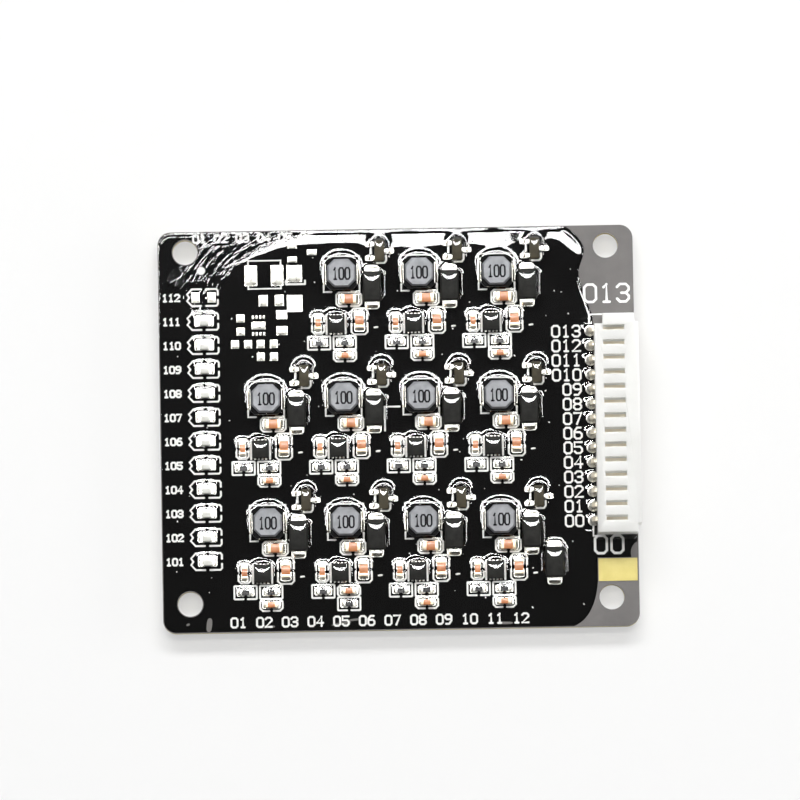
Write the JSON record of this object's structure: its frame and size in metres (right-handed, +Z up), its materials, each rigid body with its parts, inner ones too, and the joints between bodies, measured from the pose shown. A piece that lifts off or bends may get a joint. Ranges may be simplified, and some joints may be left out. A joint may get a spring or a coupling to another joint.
{
  "type": "active balancer board",
  "caption": "Black circuit board that balances series battery cells, with small inductors, status lights and a side-entry header",
  "frame": {"origin": "middle of the mounting hole pattern, on the board's underside", "axes": "+Z up out of the side that carries the parts, +X towards the header, +Y towards the edge that the lights are counted down from"},
  "size_m": [0.0654, 0.055, 0.0076],
  "materials": {
    "board": "black solder mask on glass laminate, satin",
    "coating": "clear brushed-on lacquer, high gloss",
    "tin": "bright tin, slightly uneven",
    "gold": "pale gold plating, satin",
    "solder": "bright solder with dark reflections",
    "housing": "natural white nylon",
    "pin_metal": "tin-plated brass",
    "ferrite": "grey coated ferrite, satin",
    "resin": "black magnetic resin",
    "copper_wire": "enamelled copper wire",
    "black_mould": "black epoxy moulding",
    "brown_mould": "dark brown epoxy moulding",
    "ceramic": "tan ceramic",
    "resistor_glaze": "black glaze",
    "light_base": "white laminate",
    "light_lens": "milky resin"
  },
  "bodies": {
    "root": {"capacitor_ends": "tin", "chip_resistors": "resistor_glaze", "circuit_board": "board", "clear_coating": "coating", "connector_housing": "housing", "connector_pins": "pin_metal", "converter_chip_01": "black_mould", "converter_chip_02": "black_mould", "converter_chip_03": "black_mould", "converter_chip_04": "black_mould", "converter_chip_05": "black_mould", "converter_chip_06": "black_mould", "converter_chip_07": "black_mould", "converter_chip_08": "black_mould", "converter_chip_09": "black_mould", "converter_chip_10": "black_mould", "converter_chip_11": "black_mould", "converter_leads": "tin", "diode_01": "black_mould", "diode_02": "black_mould", "diode_03": "black_mould", "diode_04": "black_mould", "diode_05": "black_mould", "diode_06": "black_mould", "diode_07": "black_mould", "diode_08": "black_mould", "diode_09": "black_mould", "diode_10": "black_mould", "diode_11": "black_mould", "diode_12": "black_mould", "diode_leads": "tin", "gold_land": "gold", "inductor_core_01": "ferrite", "inductor_core_02": "ferrite", "inductor_core_03": "ferrite", "inductor_core_04": "ferrite", "inductor_core_05": "ferrite", "inductor_core_06": "ferrite", "inductor_core_07": "ferrite", "inductor_core_08": "ferrite", "inductor_core_09": "ferrite", "inductor_core_10": "ferrite", "inductor_core_11": "ferrite", "inductor_shields": "resin", "inductor_terminals": "tin", "inductor_windings": "copper_wire", "large_capacitors": "ceramic", "light_bases": "light_base", "light_ends": "tin", "light_lenses": "light_lens", "resistor_ends": "tin", "small_capacitors": "ceramic", "solder_joints": "solder", "tinned_lands": "tin", "transistor_leads": "tin", "transistors": "brown_mould"}
  },
  "joints": []
}
